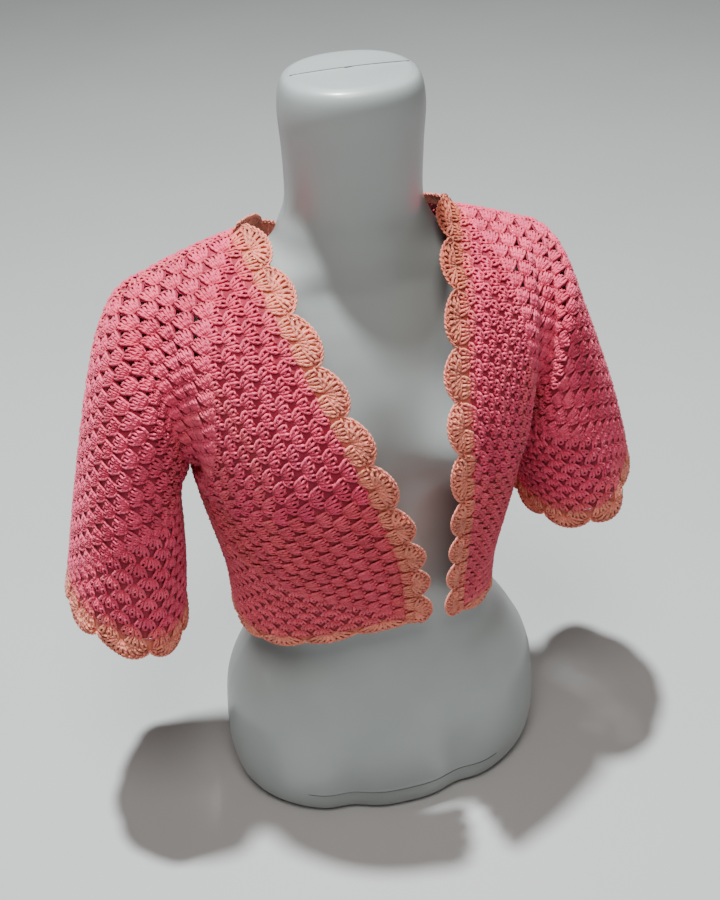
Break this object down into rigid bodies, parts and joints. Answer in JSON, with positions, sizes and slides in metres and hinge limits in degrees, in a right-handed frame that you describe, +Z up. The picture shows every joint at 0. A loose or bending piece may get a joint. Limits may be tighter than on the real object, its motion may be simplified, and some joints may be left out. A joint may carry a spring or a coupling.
{
  "type": "cropped crocheted cardigan on a limbless dress form",
  "caption": "Cropped open-front cardigan with elbow sleeves and scalloped borders, worn on a limbless dress form that stands on its own flat base.",
  "frame": {"origin": "middle of the dress form's flat base, on the surface it stands on", "axes": "+Z up along the form; +X to the wearer's left; the fronts face -Y"},
  "size_m": [0.5692, 0.2673, 0.748],
  "materials": {
    "plastic": "smooth satin white",
    "crochet": "soft pink wool, crocheted in clusters",
    "border": "soft peach wool, crocheted in scallops"
  },
  "bodies": {
    "root": {"dress_form": "plastic", "right_front": "crochet", "right_back": "crochet", "right_sleeve": "crochet", "left_front": "crochet", "left_back": "crochet", "left_sleeve": "crochet", "right_front_border": "border", "right_hem_border": "border", "right_cuff_border": "border", "left_front_border": "border", "left_hem_border": "border", "left_cuff_border": "border", "neck_border": "border"}
  },
  "joints": []
}
